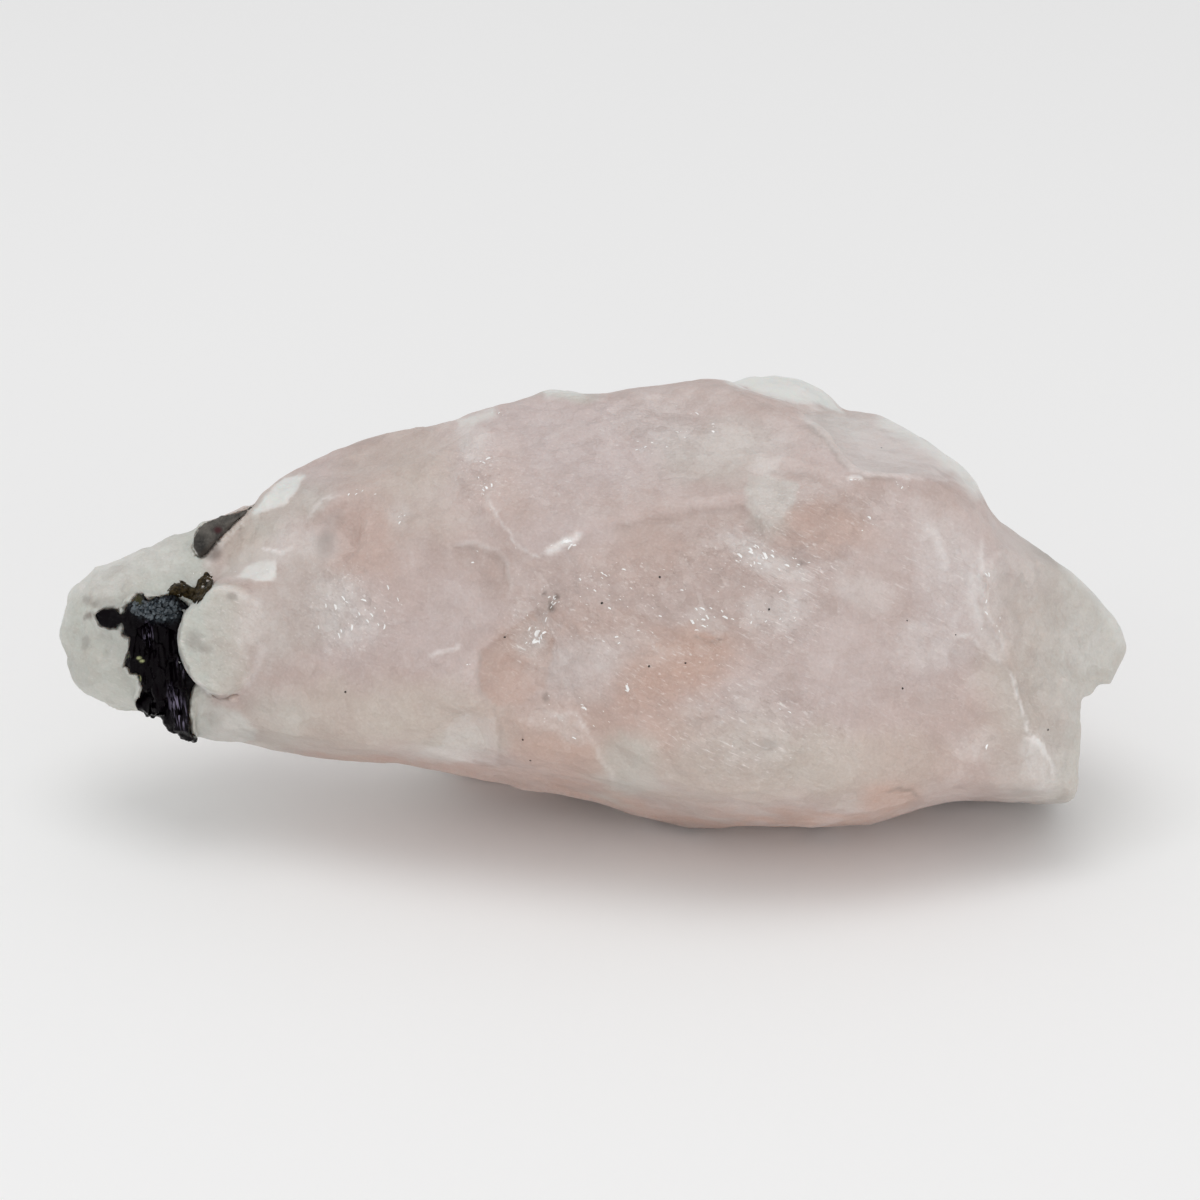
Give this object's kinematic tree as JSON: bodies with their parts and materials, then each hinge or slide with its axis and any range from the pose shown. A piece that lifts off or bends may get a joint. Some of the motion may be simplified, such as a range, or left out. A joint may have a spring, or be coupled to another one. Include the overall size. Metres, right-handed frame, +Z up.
{
  "type": "rose quartz specimen",
  "caption": "Rough broken piece of pale pink quartz with black prismatic crystals grown into a cleft at one end, resting on a small flat spot.",
  "frame": {"origin": "on the surface it rests on, under the middle of its box", "axes": "+Z up; +X along the length, from the end with the black crystals to the pale pointed end; -Y towards the side that the picture shows"},
  "size_m": [0.11, 0.0504, 0.0469],
  "materials": {
    "rose_quartz": "milky, waxy to glassy on fresh breaks",
    "black_tourmaline": "glossy black, striated",
    "grey_tourmaline": "dull dark grey"
  },
  "bodies": {
    "root": {"rose_quartz": "rose_quartz", "black_tourmaline": "black_tourmaline", "tourmaline_blade": "grey_tourmaline"}
  },
  "joints": []
}
